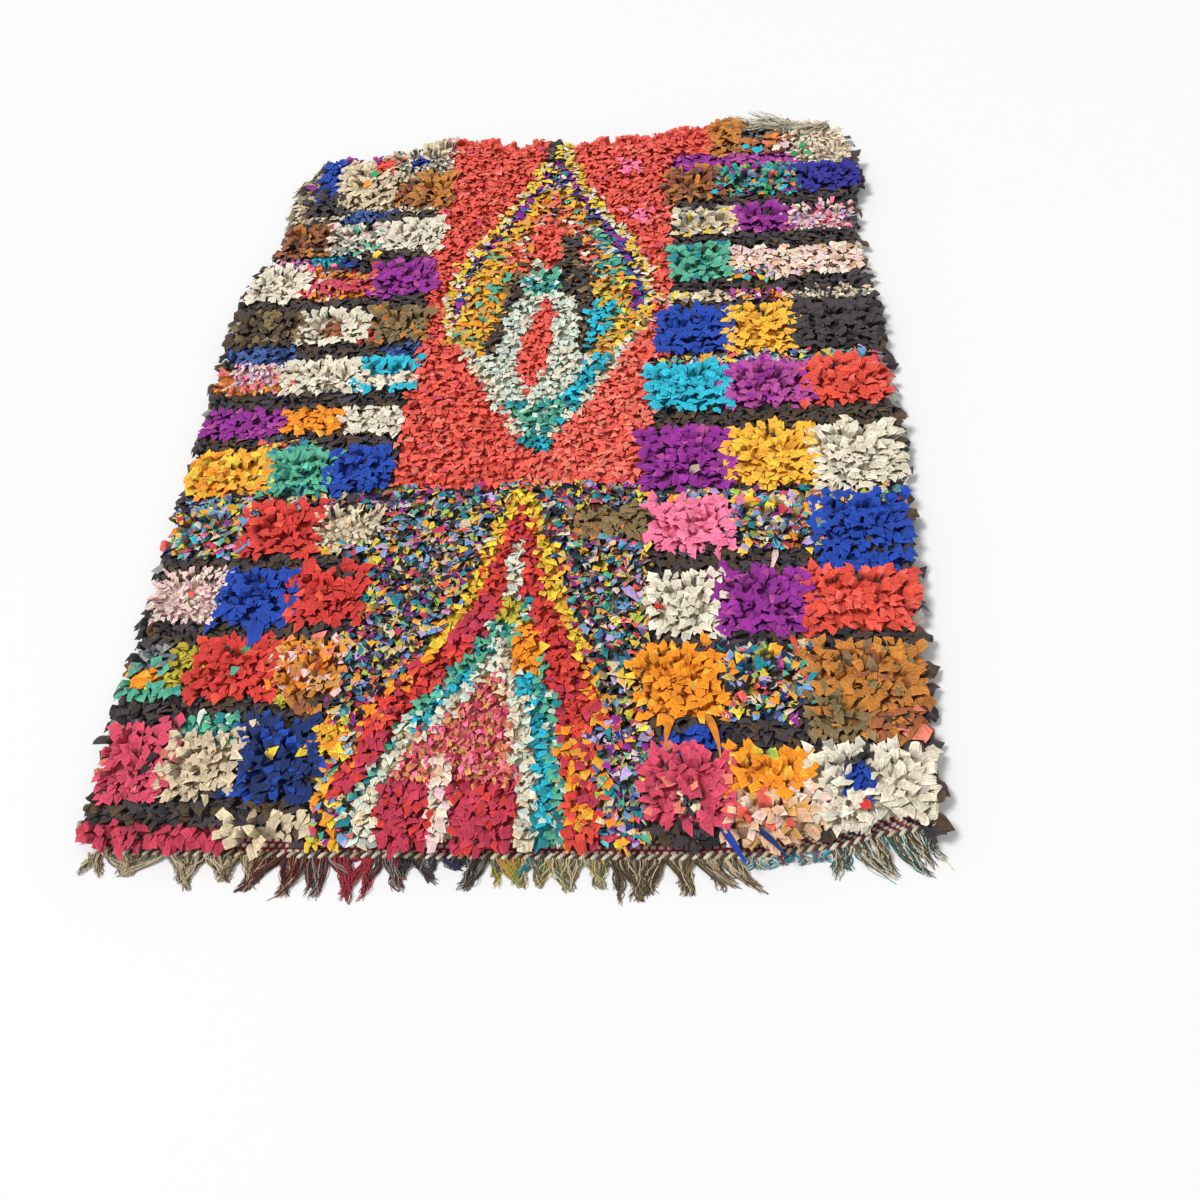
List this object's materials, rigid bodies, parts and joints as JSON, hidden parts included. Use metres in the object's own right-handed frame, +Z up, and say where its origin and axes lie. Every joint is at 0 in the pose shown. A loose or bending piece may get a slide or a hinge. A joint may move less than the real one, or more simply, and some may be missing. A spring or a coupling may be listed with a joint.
{
  "type": "boucherouite rug",
  "caption": "Shaggy rectangular rag rug: knotted rag pile on a woven ground, with a twined near end and warp fringes, lying flat.",
  "frame": {"origin": "middle of the flat underside, halfway along the cloth from its near end to its far end", "axes": "+X across the rug to the right as seen from the near end, +Y along the rug from the near end to the far end, +Z up, away from the floor"},
  "size_m": [1.5508, 2.0751, 0.0403],
  "materials": {
    "rag": "matte",
    "twine": "matte",
    "warp": "matte"
  },
  "bodies": {
    "root": {"rag_pile": "rag", "near_twining": "twine", "near_fringe": "warp", "far_left_fringe": "warp", "far_right_fringe": "warp"}
  },
  "joints": []
}
